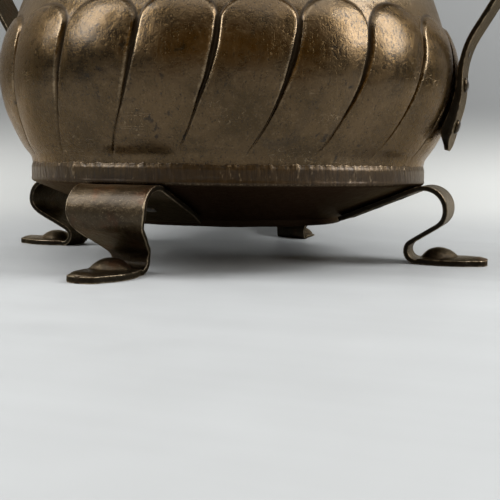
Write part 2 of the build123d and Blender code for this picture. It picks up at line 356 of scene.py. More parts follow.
def sweep_finish(settings):
    """Pale seamless sweep, faintly streaked, with painted light making its turn paler and painted shade
    making its wall darker, that shows only its front.
    """
    material, bench, place = new_finish("pale_sweep")
    streaks = bench.noise(bench.scaled(place, (1.5, 26.0, 26.0)), 1.0, 3.0, 0.6)
    mottle = bench.noise(place, 30.0, 3.0, 0.6)
    height = bench.parts(place)["Z"]
    deep = [STREAK_SHADE * value for value in settings.sweep_colour]
    base = layered(
        mix(ramp(streaks + mottle * 0.3, -0.3, 0.3), deep, settings.sweep_colour),
        # painted light: the turn painted paler, where light from above would fall on it
        (ramp(height, 0.002, 0.030), settings.lit_turn_colour),
        # painted shade: the upright wall painted darker, where less light from above would reach it
        (ramp(height, 0.040, 0.125), settings.shaded_wall_colour),
    )
    sockets = {"Base Color": base, "Roughness": 0.5 + mottle * 0.2, "Specular IOR Level": 0.35}
    return dressed(material, bench, sockets, bench.node("ShaderNodeNewGeometry")["Backfacing"])


# ---- meshes ------------------------------------------------------------------
def keep(name, mesh):
    """A new object at the origin, in the scene's own collection."""
    piece = bpy.data.objects.new(name, mesh)
    bpy.context.scene.collection.objects.link(piece)
    return piece


def mesh_of(name, points, faces, edges=()):
    """A mesh from points in millimetres."""
    mesh = bpy.data.meshes.new(name)
    mesh.from_pydata([tuple(float(v) * MM for v in point) for point in points], list(edges), faces)
    mesh.update()
    return mesh


def tag(mesh, name, values, kind="FLOAT", key="value"):
    """Stores a value for each point under a name."""
    mesh.attributes.new(name, kind, "POINT").data.foreach_set(key, values)


def hand_over(piece, slot, *nodes):
    """The piece joins the root body and stands for these CAD nodes, which are hidden. The slot is not
    used.
    """
    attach(piece, "root")
    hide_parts(*nodes)


def modifier_tree(name, inputs):
    """An empty Geometry Nodes tree with named inputs: its bench and its input node."""
    tree = bpy.data.node_groups.new(name, "GeometryNodeTree")
    tree.interface.new_socket("Geometry", in_out="INPUT", socket_type="NodeSocketGeometry")
    for label, (kind, default) in inputs.items():
        socket = tree.interface.new_socket(label, in_out="INPUT", socket_type="NodeSocket" + kind)
        if default is not None:
            socket.default_value = default
    tree.interface.new_socket("Geometry", in_out="OUTPUT", socket_type="NodeSocketGeometry")
    bench = Bench(tree)
    return bench, bench.node("NodeGroupInput")


def grown(name, base, bench, values):
    """The plain object that a tree grows from a base mesh, with these input values."""
    stand = keep(name + "_base", base)
    modifier = stand.modifiers.new("grow", "NODES")
    modifier.node_group = bench.tree
    for item in bench.tree.interface.items_tree:
        if item.item_type == "SOCKET" and item.in_out == "INPUT" and item.name in values:
            modifier[item.identifier] = values[item.name]
    graph = bpy.context.evaluated_depsgraph_get()
    mesh = bpy.data.meshes.new_from_object(
        stand.evaluated_get(graph), preserve_all_data_layers=True, depsgraph=graph
    )
    stand.modifiers.remove(modifier)
    bpy.data.objects.remove(stand)
    mesh.name = name
    return keep(name, mesh)


def finish_tree(bench, geometry, material):
    """Ends a tree: plain smooth mesh with its material."""
    real = bench.node("GeometryNodeRealizeInstances", {"Geometry": geometry})[0]
    smooth = bench.node("GeometryNodeSetShadeSmooth", {0: real})[0]
    named = bench.node("GeometryNodeSetMaterial", {"Geometry": smooth, "Material": material})[0]
    bench.node("NodeGroupOutput", {"Geometry": named})


def spun_grid(bench, outline, columns):
    """A grid with a row for each point of the outline, to be bent round the axis.

    Returns the grid, then each point's share of a turn, its radius and its height.
    """
    rows = bench.node("GeometryNodeAttributeDomainSize", {0: outline}, component="MESH")["Point Count"]
    sockets = {"Size X": 1.0, "Size Y": 1.0, "Vertices X": columns + 1, "Vertices Y": rows}
    grid = bench.node("GeometryNodeMeshGrid", sockets)["Mesh"]
    position = bench.node("GeometryNodeInputPosition")[0]
    flat = bench.parts(position)
    row = maths("ROUND", (flat["Y"] + 0.5) * (rows - 1))
    sockets = {"Geometry": outline, 1: position, "Index": row}
    place = bench.parts(bench.node("GeometryNodeSampleIndex", sockets, data_type="FLOAT_VECTOR")[0])
    return grid, flat["X"] + 0.5, place["X"] / MM, place["Z"] / MM


def round_axis(bench, azimuth, radius, height):
    """The place of a point, its azimuth in degrees from -Y towards +X."""
    angle = azimuth * (pi / 180)
    return bench.vector(maths("SINE", angle) * radius, maths("COSINE", angle) * radius * -1, height)


def store(bench, geometry, name, value):
    sockets = {"Geometry": geometry, "Name": name, "Value": value}
    return bench.node("GeometryNodeStoreNamedAttribute", sockets, data_type="FLOAT", domain="POINT")[0]


def bend_grid(bench, grid, place):
    """Moves the grid's points to their places in millimetres, and closes its seams."""
    metres = bench.scaled(place, (MM, MM, MM))
    moved = bench.node("GeometryNodeSetPosition", {"Geometry": grid, "Position": metres})[0]
    return bench.node("GeometryNodeMergeByDistance", {"Geometry": moved, "Distance": SEAM * MM})[0]


def smooth_curve(stations, places, level_ends=False):
    """Values at these places on a smooth curve through (place, value) stations."""
    at, value = np.array(stations).T
    slope = np.gradient(value, at)
    if level_ends:
        slope[0] = slope[-1] = 0.0
    places = np.clip(places, at[0], at[-1])
    i = np.clip(np.searchsorted(at, places) - 1, 0, len(at) - 2)
    span = at[i + 1] - at[i]
    t = (places - at[i]) / span
    start = (2 * t**3 - 3 * t**2 + 1) * value[i] + (t**3 - 2 * t**2 + t) * span * slope[i]
    return start + (3 * t**2 - 2 * t**3) * value[i + 1] + (t**3 - t**2) * span * slope[i + 1]


def bent_line(corners, bends, step):
    """Points evenly spaced along a line whose corners are rounded, and the directions there."""
    dense = [np.array(corners[0], float)]
    for before, corner, after, bend in zip(corners, corners[1:], corners[2:], bends):
        before, corner, after = (np.array(p, float) for p in (before, corner, after))
        arrive = (corner - before) / np.linalg.norm(corner - before)
        leave = (after - corner) / np.linalg.norm(after - corner)
        turn = atan2(arrive[0] * leave[1] - arrive[1] * leave[0], arrive @ leave)
        start = corner - arrive * bend * tan(abs(turn) / 2)
        side = np.array([-arrive[1], arrive[0]]) * np.sign(turn)
        for angle in np.linspace(0, abs(turn), 33):
            dense.append(start + arrive * bend * sin(angle) + side * bend * (1 - cos(angle)))
    dense.append(np.array(corners[-1], float))
    dense = np.array(dense)
    along = np.concatenate([[0], np.cumsum(np.linalg.norm(np.diff(dense, axis=0), axis=1))])
    count = int(along[-1] / step) + 1
    stations = np.linspace(0, along[-1], count)
    line = np.stack([np.interp(stations, along, dense[:, i]) for i in (0, 1)], axis=1)
    ahead = np.gradient(line, axis=0)
    return line, ahead / np.linalg.norm(ahead, axis=1)[:, None]


# ---- pot ---------------------------------------------------------------------
BAND_RADIUS = 132.0
PAN_WALL = 1.2
POT_WALL = 1.5
SKIRT_RADIUS = BAND_RADIUS - PAN_WALL - 0.05
SKIRT_BOTTOM = 53.0
# height and radius of the pot's ground, under its lobes, from the band to the rim
GROUND = [
    (60.0, 130.75), (64.0, 131.3), (76.0, 137.4), (90.0, 143.0), (104.0, 146.5), (118.0, 147.8),
    (132.0, 146.5), (142.0, 143.9), (150.0, 140.2), (156.5, 137.9), (168.0, 133.5),
    (185.0, 129.0), (203.0, 127.5), (224.0, 131.4), (233.0, 138.6),
]
# first height, end and step of the rows up the outside and down the inside
OUTER_ROWS = [
    (60.5, 120.0, 1.7), (120.5, 134.0, 1.25), (134.4, 152.0, 0.8),
    (153.0, 170.0, 2.4), (172.0, 230.0, 5.2),
]
INNER_ROWS = [(229.0, 158.0, -7.0), (154.0, 134.0, -1.8), (131.0, 64.0, -3.6)]
RIM_RADIUS = 142.5
RIM_Z = 236.5
RIM_ROLL = 3.95


def pot_side(rows, inset=0.0):
    """(radius, height) up or down one side of the wall, upright behind the band."""
    return [
        ((SKIRT_RADIUS if z < GROUND[0][0] else r) - inset, z)
        for z, r in zip(rows, smooth_curve(GROUND, rows))
    ]


def pot_outline():
    """The pot's wall cut through: up the outside, over the rolled rim and down the inside."""
    outer = [SKIRT_BOTTOM, 57.0] + [z for rows in OUTER_ROWS for z in np.arange(*rows)]
    inner = [z for rows in INNER_ROWS for z in np.arange(*rows)] + [60.0, SKIRT_BOTTOM]
    wall = pot_side(outer)
    roll = [
        (RIM_RADIUS + RIM_ROLL * cos(radians(a)), RIM_Z + RIM_ROLL * sin(radians(a)))
        for a in np.linspace(-150, 165, 17)
    ]
    outline = [(r, 0.0, z) for r, z in wall + roll + pot_side(inner, POT_WALL) + wall[:1]]
    return mesh_of("pot_outline", outline, [], [(i, i + 1) for i in range(len(outline) - 1)])


def pot_tree():
    """Bends the outline round the axis and raises leaning lobes with arched tops on it."""
    bench, given = modifier_tree("raised_pot", {
        "Columns per lobe": ("Int", 30),
        "Lobes": ("Int", 20),
        "First groove": ("Float", 0.5),
        "Drift": ("Float", 2.9),
        "Drift phase": ("Float", 13.0),
        "Lean": ("Float", 0.0015),
        "Upright height": ("Float", 147.0),
        "Lip height": ("Float", 2.3),
        "Pillow height": ("Float", 1.9),
        "Valley half-width": ("Float", 0.55),
        "Arch spring": ("Float", 134.0),
        "Arch top": ("Float", 149.8),
        "Dents": ("Float", 1.0),
        "Band radius": ("Float", BAND_RADIUS),
        "Seed": ("Float", 3.0),
        "Material": ("Material", None),
    })
    lobes = given["Lobes"]
    columns = given["Columns per lobe"] * lobes
    grid, turn, ground, height = spun_grid(bench, given["Geometry"], columns)

    # each lobe's columns crowd towards its two grooves
    along = turn * lobes
    lobe = maths("FLOOR", along)
    within = along - lobe
    crowded = within - maths("SINE", within * (2 * pi)) * (0.72 / (2 * pi))

    def groove(number):
        even = given["First groove"] + number * (360.0 / lobes)
        return even + given["Drift"] * maths("COSINE", (even + given["Drift phase"]) * (pi / 90))

    below = maths("MAXIMUM", given["Upright height"] - height, 0.0)
    lean = given["Lean"] * below * below
    azimuth = groove(lobe + crowded)
    mean_place = round_axis(bench, azimuth - lean, ground, height)
    belly = ramp(height, 62.0, 72.0)
    outer = ramp(height, 59.0, 61.0)
    waver = bench.noise(mean_place, 0.035, 1.0) * belly * 1.1

    # where a point lies in its lobe: half the lobe's width, and the way across from its middle
    to_mm = ground * (pi / 180)
    first_edge = (azimuth - groove(lobe)) * to_mm
    last_edge = (groove(lobe + 1) - azimuth) * to_mm
    number = maths("MODULO", lobe, lobes) + given["Seed"]
    luck = bench.chance(number) - 0.5
    other_luck = bench.chance(number + 40.5) - 0.5
    width = ramp(height, 84.0, 128.0, 0.16, 1.0) * given["Valley half-width"]
    half = (first_edge + last_edge) * 0.5 - width
    across = (first_edge - last_edge) * 0.5

    # distance into the lobe's outline: upright sides up to the spring, then half an ellipse
    spring = given["Arch spring"] + other_luck * 2.0
    rise = given["Arch top"] + luck * 2.0 - spring
    above = maths("MAXIMUM", height - spring, 0.0)
    share = maths("SQRT", (across / half) ** 2.0 + (above / rise) ** 2.0)
    safe = maths("MAXIMUM", share, 0.02)
    steep = maths("SQRT", (across / (half * half)) ** 2.0 + (above / (rise * rise)) ** 2.0) / safe
    depth = (1.0 - share) / maths("MAXIMUM", steep, 0.001)

    shoulder = ramp(height, 84.0, 122.0, 0.8, 1.6)
    line_share = ramp(height, 65.0, 71.0) * ramp(height, 71.0, 112.0, 0.42, 1.0)
    edge_share = line_share * ramp(height, 118.0, 150.0, 1.0, 0.75)
    wall = ramp(depth, 0.0, shoulder)
    swell = ramp(height, 62.0, 100.0, 0.1, 1.0) * ramp(height, 118.0, 150.0, 1.0, 0.65)
    full = maths("MAXIMUM", 1.0 - share * share, 0.0) ** 0.85
    lips = edge_share * wall * given["Lip height"] * (1.0 + other_luck * 0.3)
    pillow = swell * full * given["Pillow height"] * (1.0 + luck * 0.35)

    lumps = bench.noise(mean_place, 0.030, 2.0) * 1.5
    dents = bench.noise(mean_place, 0.11, 2.0) * 0.45
    ripple = bench.noise(mean_place, 0.32, 1.0) * 0.14
    hand = (lumps + dents + ripple) * belly * given["Dents"]
    slid = azimuth + height * 0.11
    strokes = bench.noise(round_axis(bench, slid, given["Band radius"], height * 0.14), 0.5, 2.0, 0.6)
    hammered = strokes * ramp(height + luck * 3.0, 61.0, 71.0, 0.55, 0.0) * outer

    radius = ground + lips + pillow + hand + hammered
    place = round_axis(bench, azimuth - lean + waver, radius, height)
    near = ramp(depth, -2.4, -0.3)
    # valley: the groove floors, which the finish darkens with dirt and painted shade
    shaped = store(bench, grid, "valley", edge_share * (1.0 - wall) * near)
    crest = ramp(depth, shoulder * 0.35, shoulder) * ramp(depth, shoulder + 3.2, shoulder)
    shaped = store(bench, shaped, "lip", crest * edge_share)
    finish_tree(bench, bend_grid(bench, shaped, place), given["Material"])
    return bench


# ---- base pan ----------------------------------------------------------------
BAND_TOP = 62.0
PAN_LINE = [(0.0, 24.6), (77.0, 24.6), (79.6, 29.0), (131.4, 50.4), (131.4, BAND_TOP)]
PAN_BENDS = [1.5, 1.5, 2.0]


def pan_outline():
    """The pan's sheet cut through: out along its underside, up the band and back inside."""
    line, ahead = bent_line(PAN_LINE, PAN_BENDS, 0.5)
    side = np.stack([-ahead[:, 1], ahead[:, 0]], axis=1)
    band = line[:, 0] > BAND_RADIUS - PAN_WALL - 1.2
    step = (line[:, 0] > 73) & (line[:, 0] < 83)
    index = np.arange(len(line))
    below = [i for i in index if i == 0 or band[i] or (step[i] and i % 2 == 0) or i % 9 == 0]
    above = [i for i in index if i == 0 or i % 14 == 0 or (step[i] and i % 3 == 0) or i == index[-1]]
    under = [line[i] - side[i] * PAN_WALL / 2 for i in below]
    inside = [line[i] + side[i] * PAN_WALL / 2 for i in reversed(above)]
    points = [(max(r, 0.0), 0.0, z) for r, z in under + inside]
    return mesh_of("pan_outline", points, [], [(i, i + 1) for i in range(len(points) - 1)])


def pan_tree():
    """Bends the outline round the axis and hammers short leaning strokes into the band."""
    bench, given = modifier_tree("hammered_pan", {
        "Columns": ("Int", 900),
        "Stroke depth": ("Float", 0.7),
        "Stroke lean": ("Float", 0.25),
        "Band radius": ("Float", BAND_RADIUS),
        "Band top": ("Float", BAND_TOP),
        "Material": ("Material", None),
    })
    grid, turn, radius, height = spun_grid(bench, given["Geometry"], given["Columns"])
    azimuth = turn * 360.0
    up = height - given["Band top"]
    slid = azimuth + up * given["Stroke lean"] * 0.45
    streaked = round_axis(bench, slid, given["Band radius"], height * 0.14)
    outside = ramp(radius, given["Band radius"] - 0.6, given["Band radius"] - 0.1)
    band = outside * ramp(up, -11.0, -9.0)
    strokes = bench.noise(streaked, 0.5, 2.0, 0.6)
    broad = bench.noise(streaked, 0.06, 2.0)
    ridges = abs(strokes) * 4.0
    place = round_axis(bench, azimuth, radius, height)
    lumps = bench.noise(place, 0.045, 2.0)
    tops = ramp(up, -3.6, 0.0)
    moved = radius + band * ((strokes * 1.1 + broad * 0.7) * given["Stroke depth"] - 0.25 - tops * 0.62)
    ragged = height + tops * (strokes * 2.4 + broad * 2.0 - 0.45)
    floor = 1.0 - ramp(radius, 70.0, 128.0)
    sagged = ragged + lumps * (1.0 - ramp(radius, 118.0, 130.0)) * (0.5 + floor * 0.4)
    shaped = store(bench, grid, "stroke", maths("MINIMUM", ridges, 1.0) * band)
    corner = ramp(up, -13.4, -12.2) * ramp(up, -10.6, -11.4) * ramp(radius, 129.0, 130.6)
    shaped = store(bench, shaped, "crease", corner + tops * outside * 0.7)
    hammered = round_axis(bench, azimuth, moved, sagged)
    finish_tree(bench, bend_grid(bench, shaped, hammered), given["Material"])
    return bench


# ---- straps ------------------------------------------------------------------
STRAP = 3.2
STRAP_WIDTH = 49.5
EDGE_ROUND = 0.6
ACROSS = 33                 # points across a face of a strap
# the strip along a face's edges is partly wear and partly a painted highlight
WEAR_AND_HIGHLIGHT_STRIP = 1.2             # width of the worn strip along a face's edges
WEAR_AND_HIGHLIGHT_SHARE = 0.8       # how worn it is at the edge itself
SKIN = [(0.22, 0.09), (0.12, 0.33), (0.06, 0.9)]    # depth and fineness of the forged skin's relief
SKIN_DEPTH = 0.25           # the skin's mean level lies this far inside the strap
WAVE = (0.30, 0.12)         # depth and fineness of the sides' waviness
SEED_STEP = 71.0            # how far apart the straps' reliefs are read
SOLE = 0.9                  # an underside this near the floor rests on it
TIP_SHARE = 0.02            # keeps a rounded tip from closing to a point
CONE_START = (79.6, 29.0)
CONE_END = (131.4, 50.4)
CONE_SLOPE = (CONE_END[1] - CONE_START[1]) / (CONE_END[0] - CONE_START[0])
FOOT_INNER_X = 82.5
SCROLL_X = 148.9
RUN_TOP_Z = 28.2
RUN_END_X = 107.3
FOOT_BENDS = [13.7, 11.2, 6.9]
PAD_TIP_X = 174.0
PAD_START_X = 131.0
# height, width up a foot's run, and distance, width along its pad
FOOT_TAPER = [(0.0, 24.0), (9.0, 24.0), (15.0, 29.5), (23.0, 40.0), (36.0, STRAP_WIDTH)]
PAD_TAPER = [(PAD_START_X, 24.0), (140.0, 29.0), (149.0, 31.0), (160.0, 27.5), (168.0, 20.0)]
PAD_EDGE_Z = 3.8            # height of the pad's upper corners
CROWN = 1.9                 # how far its middle stands above them
# distance, share of the crown along the pad
CROWN_ALONG = [(PAD_START_X, 0.0), (PAD_START_X + 6, 1.0), (169.0, 1.0), (PAD_TIP_X, 0.45)]
BOSS_X = 144.0
BOSS_RADIUS = 11.4
BOSS_TOP = 10.8
DITCH = (0.35, 1.06, 0.10)  # depth, place and half-width of the groove round the boss
# azimuth of each foot from +X towards +Y
FEET = {"right": 2.0, "back": 87.3, "left": 177.3, "front": 265.8}

HANDLE_LINE = [
    (147.0, 72.0), (155.1, 103.5), (155.1, 131.3), (199.6, 204.0),
    (186.0, 229.5), (131.2, 223.4), (131.2, 193.0),
]
HANDLE_BENDS = [60.0, 50.0, 26.0, 19.0, 7.0]
HANDLE_WIDTH = 28.0
HANDLE_TAPER = [(81.0, 25.0), (96.0, 26.8), (112.0, HANDLE_WIDTH), (140.0, HANDLE_WIDTH)]
# inner side of the thickened lower leg: height, distance from the axis
LEG_INSIDE = [
    (80.0, 142.3), (90.0, 146.9), (96.0, 149.2), (104.0, 151.3), (111.0, 152.5), (120.0, 152.9),
]
LEG_FADE = [(74.0, 0), (83.0, 1), (120.0, 1), (126.0, 0)]     # height, share of that thickness
HANDLES = {"right": 0.0, "left": 180.0}


def edge_points(half, top, bottom):
    """Round one edge of a strap: how far across, the height, the corner's share of wear and painted
    highlight, and the side's share of painted shade.
    """
    bend = min(EDGE_ROUND, half * 0.9, (top - bottom) * 0.45)
    corner = [(-0.5, 0.13, 1, 0), (-0.13, 0.5, 1, 0.1), (0.0, 1.0, 0.8, 0.6)]
    upper, lower = ([
        (half + across * bend, face - down * bend * way, worn, dark)
        for across, down, worn, dark in corner
    ] for face, way in ((top, 1), (bottom, -1)))
    middle = [
        (half + bend * bulge, bottom + (top - bottom) * up, 0, 1)
        for bulge, up in ((0.12, 0.66), (0.15, 0.5), (0.12, 0.34))
    ]
    return half - bend, upper + middle + lower[::-1]


def strap_section(half, top, bottom):
    """Round a strap: how far across, how far off the line, which face, the corner's share of wear and
    painted highlight, and the side's share of painted shade.

    The face is 1 above, -1 below and 0 on the sides.
    """
    flat, edge = edge_points(half, top, bottom)
    faces = [
        (y, max(0.0, 1.0 - (flat - abs(y)) / WEAR_AND_HIGHLIGHT_STRIP) * WEAR_AND_HIGHLIGHT_SHARE)
        for y in np.linspace(flat, -flat, ACROSS)
    ]
    section = [(y, top, 1, worn, 0) for y, worn in faces]
    section += [(-y, out, 0, worn, dark) for y, out, worn, dark in edge]
    # the underside takes half the painted shade
    section += [(-y, bottom, -1, worn, 0.5) for y, worn in faces]
    section += [(y, out, 0, worn, dark) for y, out, worn, dark in reversed(edge)]
    return flat, section


def strap_mesh(name, line, ahead, widths, upper, lower, azimuth, seed, lift_from=None):
    """A strap along a line in the XZ plane, with square edges, a forged skin and closed ends.

    upper and lower are how far its faces stand off the line. From the row lift_from on, the
    upper face carries the crown and the boss of a pad. The mesh is turned to its azimuth.
    """
    points, corners, sides = [], [], []
    for number, (centre, way, width, top, bottom) in enumerate(zip(line, ahead, widths, upper, lower)):
        normal = (-way[1], way[0])
        flat, section = strap_section(width / 2, top, bottom)
        for y, out, face, worn, dark in section:
            at_x, at_z = centre[0] + normal[0] * out, centre[1] + normal[1] * out
            key = Vector((at_x + seed * SEED_STEP, y, at_z))
            skin = sum(depth * noise.noise(key * fine) for depth, fine in SKIN)
            if face == 0:
                y += WAVE[0] * noise.noise(key * WAVE[1]) * (1 if y > 0 else -1)
            raised = 0.0
            if lift_from is not None and number >= lift_from and face == 1:
                raised = pad_lift(centre[0], y, flat)
            out += raised + (skin - SKIN_DEPTH) * face
            height = centre[1] + normal[1] * out
            if face == -1 and height < SOLE:
                height = 0.0
            points.append((centre[0] + normal[0] * out, y, max(height, 0.0)))
            corners.append(worn)
            sides.append(dark)
    ring = len(section)
    last = len(points) - ring
    faces = []
    for start in range(0, last, ring):
        for c in range(ring):
            d = (c + 1) % ring
            faces.append((start + c, start + d, start + ring + d, start + ring + c))
    for start in (0, last):
        middle = len(points)
        points.append(tuple(np.mean(points[start:start + ring], axis=0)))
        corners.append(0.0)
        sides.append(1.0)
        for c in range(ring):
            cap = (start + (c + 1) % ring, start + c, middle)
            faces.append(cap if start == 0 else cap[::-1])
    turn = Matrix.Rotation(radians(azimuth), 3, "Z")
    mesh = mesh_of(name, [turn @ Vector(point) for point in points], faces)
    # corner: wear and painted highlight; side: painted shade on the sides, the underside and the end
    # caps
    tag(mesh, "corner", corners)
    tag(mesh, "side", sides)
    mesh.shade_smooth()
    return mesh


def cone_underside(x):
    """Height of the cone's outer face at this distance from the axis."""
    return CONE_START[1] + CONE_SLOPE * (x - CONE_START[0]) - PAN_WALL / 2 * hypot(1.0, CONE_SLOPE)


def pad_lift(x, y, half):
    """How far the crown and the domed boss stand above the pad's upper corners."""
    crown = CROWN * np.interp(x, *zip(*CROWN_ALONG)) * max(0.0, 1.0 - (y / half) ** 2) ** 0.6
    share = hypot(x - BOSS_X, y) / BOSS_RADIUS
    dome = (BOSS_TOP - PAD_EDGE_Z - CROWN) * max(0.0, 1.0 - share * share) ** 0.8
    depth, ring, spread = DITCH
    return float(crown + dome - depth * max(0.0, 1.0 - abs(share - ring) / spread))


def round_tip(widths, along, start, end):
    """Narrows the widths to a half ellipse from start to end."""
    tip = (along - start) * np.sign(end - start) > 0
    share = (along[tip] - start) / (end - start)
    widths[tip] *= np.sqrt(np.maximum(1.0 - share**2, TIP_SHARE))


def foot_mesh(name, azimuth, seed):
    """A foot: flat under the cone, over the scroll, in to the heel and out to the pad."""
    drop = (STRAP / 2 + 0.03) * hypot(1.0, CONE_SLOPE)
    corners = [
        (FOOT_INNER_X, cone_underside(FOOT_INNER_X) - drop),
        (SCROLL_X, cone_underside(SCROLL_X) - drop),
        (SCROLL_X, RUN_TOP_Z),
        (RUN_END_X, STRAP / 2),
        (PAD_TIP_X - 0.15, STRAP / 2),
    ]
    line, ahead = bent_line(corners, FOOT_BENDS, 1.0)
    heel = int(np.argmin(line[len(line) // 3:, 0])) + len(line) // 3
    on_pad = (np.arange(len(line)) > heel) & (line[:, 0] > PAD_START_X)
    widths = smooth_curve(FOOT_TAPER, line[:, 1], True)
    widths[heel:] = FOOT_TAPER[0][1]
    pad_widths = smooth_curve(PAD_TAPER, line[on_pad, 0], True)
    round_tip(pad_widths, line[on_pad, 0], PAD_TAPER[-1][0], PAD_TIP_X)
    widths[on_pad] = pad_widths
    upper = np.where(on_pad, PAD_EDGE_Z - STRAP / 2, STRAP / 2)
    lower = np.full(len(line), -STRAP / 2)
    pad_row = int(np.argmax(on_pad))
    return strap_mesh(name, line, ahead, widths, upper, lower, azimuth, seed, pad_row)


def handle_mesh(name, azimuth, seed):
    """A handle: rounded tip and thick leg on the belly, a grip, and a tab against the neck."""
    line, ahead = bent_line(HANDLE_LINE, HANDLE_BENDS, 1.2)
    top = int(np.argmax(line[:, 1]))
    widths = smooth_curve(HANDLE_TAPER, line[:, 1], True)
    widths[top:] = HANDLE_WIDTH
    round_tip(widths[:top], line[:top, 1], HANDLE_TAPER[0][0], HANDLE_LINE[0][1])
    depth = line[:, 0] - np.interp(line[:, 1], *zip(*LEG_INSIDE))
    on_leg = np.interp(line[:, 1], *zip(*LEG_FADE))
    on_leg[top:] = 0.0
    upper = STRAP / 2 + on_leg * np.maximum(depth - STRAP / 2, 0.0)
    lower = np.full(len(line), -STRAP / 2)
    return strap_mesh(name, line, ahead, widths, upper, lower, azimuth, seed)


# ---- rivets ------------------------------------------------------------------
HEAD_RADIUS = 4.6
HEAD_HEIGHT = 2.2
SHANK_RADIUS = 2.15
FLUSH_SHARE = 0.32          # height of a foot rivet's outer head, as a share of the others
HANDLE_KNEE = HANDLE_LINE[1]
LEG_TILT = atan2(HANDLE_KNEE[0] - HANDLE_LINE[0][0], HANDLE_KNEE[1] - HANDLE_LINE[0][1])
BELLY_RIVETS = [(87.0, 140.2), (112.0, 145.6)]    # height, radius of the wall's inner face
NECK_RIVET_Z = [200.0, 210.0]
NECK_INSIDE = 126.0
FOOT_RIVET_X = [103.0, 118.0]


def rivet_lines():
    """For each CAD node, its rivets on +X as the seats of their two heads, the azimuths they
    are repeated at, and the outer head's share of the full height."""
    lower_leg = []
    for z, inside in BELLY_RIVETS:
        tilt = LEG_TILT if z < HANDLE_KNEE[1] else 0.0
        centre = (HANDLE_KNEE[0] - max(0.0, HANDLE_KNEE[1] - z) * tan(LEG_TILT), z)
        out = (cos(tilt), -sin(tilt))
        back = (centre[0] - inside) / cos(tilt)
        lower_leg.append((
            (centre[0] + out[0] * STRAP / 2, centre[1] + out[1] * STRAP / 2),
            (centre[0] - out[0] * back, centre[1] - out[1] * back),
        ))
    neck = [((HANDLE_LINE[-1][0] + STRAP / 2, z), (NECK_INSIDE, z)) for z in NECK_RIVET_Z]
    down = (CONE_SLOPE / hypot(1.0, CONE_SLOPE), -1.0 / hypot(1.0, CONE_SLOPE))
    feet = []
    for x in FOOT_RIVET_X:
        face = (x, cone_underside(x))
        feet.append((
            (face[0] + down[0] * STRAP, face[1] + down[1] * STRAP),
            (face[0] - down[0] * (PAN_WALL + 0.08), face[1] - down[1] * (PAN_WALL + 0.08)),
        ))
    return {
        "belly_rivets": (lower_leg, HANDLES.values(), 1.0),
        "neck_rivets": (neck, HANDLES.values(), 1.0),
        "foot_rivets": (feet, FEET.values(), FLUSH_SHARE),
    }


def rivet_base(name, lines, azimuths, outer_share):
    """An edge for each rivet between its two seats, with the way each head faces."""
    points, edges, facing, shares = [], [], [], []
    for azimuth in azimuths:
        turn = Matrix.Rotation(radians(azimuth), 3, "Z")
        for outer, inner in lines:
            seats = [turn @ Vector((r, 0.0, z)) for r, z in (outer, inner)]
            out = (seats[0] - seats[1]).normalized()
            edges.append((len(points), len(points) + 1))
            points += [tuple(seat) for seat in seats]
            facing += [*out, *(-out)]
            shares += [outer_share, 1.0]
    mesh = mesh_of(name, points, [], edges)
    tag(mesh, "facing", facing, "FLOAT_VECTOR", "vector")
    tag(mesh, "share", shares)
    return mesh


def rivet_tree():
    """Sets a peened dome on every point and a shank along every edge."""
    bench, given = modifier_tree("peened_rivets", {
        "Head radius": ("Float", HEAD_RADIUS),
        "Head height": ("Float", HEAD_HEIGHT),
        "Shank radius": ("Float", SHANK_RADIUS),
        "Peening": ("Float", 0.3),
        "Seed": ("Int", 5),
        "Material": ("Material", None),
    })
    ball = bench.node("GeometryNodeMeshUVSphere", {"Segments": 24, "Rings": 14, "Radius": 1.0})["Mesh"]
    place = bench.parts(bench.node("GeometryNodeInputPosition")[0])
    wide = given["Head radius"] * MM
    shaped = bench.vector(
        place["X"] * wide, place["Y"] * wide,
        maths("MAXIMUM", place["Z"], -0.04) * given["Head height"] * MM,
    )
    head = bench.node("GeometryNodeSetPosition", {"Geometry": ball, "Position": shaped})[0]
    named = "GeometryNodeInputNamedAttribute"
    facing = bench.node(named, {"Name": "facing"}, data_type="FLOAT_VECTOR")[0]
    share = bench.node(named, {"Name": "share"}, data_type="FLOAT")[0]
    aim = bench.node("FunctionNodeAlignRotationToVector", {"Vector": facing}, axis="Z")[0]
    spread = {2: 0.93, 3: 1.04, "Seed": given["Seed"]}
    size = bench.node("FunctionNodeRandomValue", spread, data_type="FLOAT")[1]
    heads = bench.node("GeometryNodeInstanceOnPoints", {
        "Points": given["Geometry"], "Instance": head, "Rotation": aim,
        "Scale": bench.vector(size, size, size * share),
    })[0]
    heads = bench.node("GeometryNodeRealizeInstances", {"Geometry": heads})[0]
    lines = bench.node("GeometryNodeMeshToCurve", {"Mesh": given["Geometry"]})[0]
    ring = bench.node("GeometryNodeCurvePrimitiveCircle", {
        "Resolution": 16, "Radius": given["Shank radius"] * MM,
    })["Curve"]
    sockets = {"Curve": lines, "Profile Curve": ring, "Fill Caps": True}
    shanks = bench.node("GeometryNodeCurveToMesh", sockets)[0]
    position = bench.node("GeometryNodeInputPosition")[0]
    blows = bench.noise(position, 420.0, 1.0) * given["Peening"] * MM
    normal = bench.node("GeometryNodeInputNormal")[0]
    push = bench.node("ShaderNodeVectorMath", {0: normal, "Scale": blows}, operation="SCALE")[0]
    heads = bench.node("GeometryNodeSetPosition", {"Geometry": heads, "Offset": push})[0]
    both = bench.node("GeometryNodeJoinGeometry", {0: [heads, shanks]})[0]
    finish_tree(bench, both, given["Material"])
    return bench


# ---- settings ----------------------------------------------------------------
def tint(name, description, default):
    """A colour in the panel."""
    return FloatVectorProperty(
        name=name, description=description, default=default, size=3, min=0.0, max=1.0, subtype="COLOR"
    )


def number(name, description, default, low, high):
    """A number in the panel."""
    return FloatProperty(name=name, description=description, default=default, min=low, max=high)


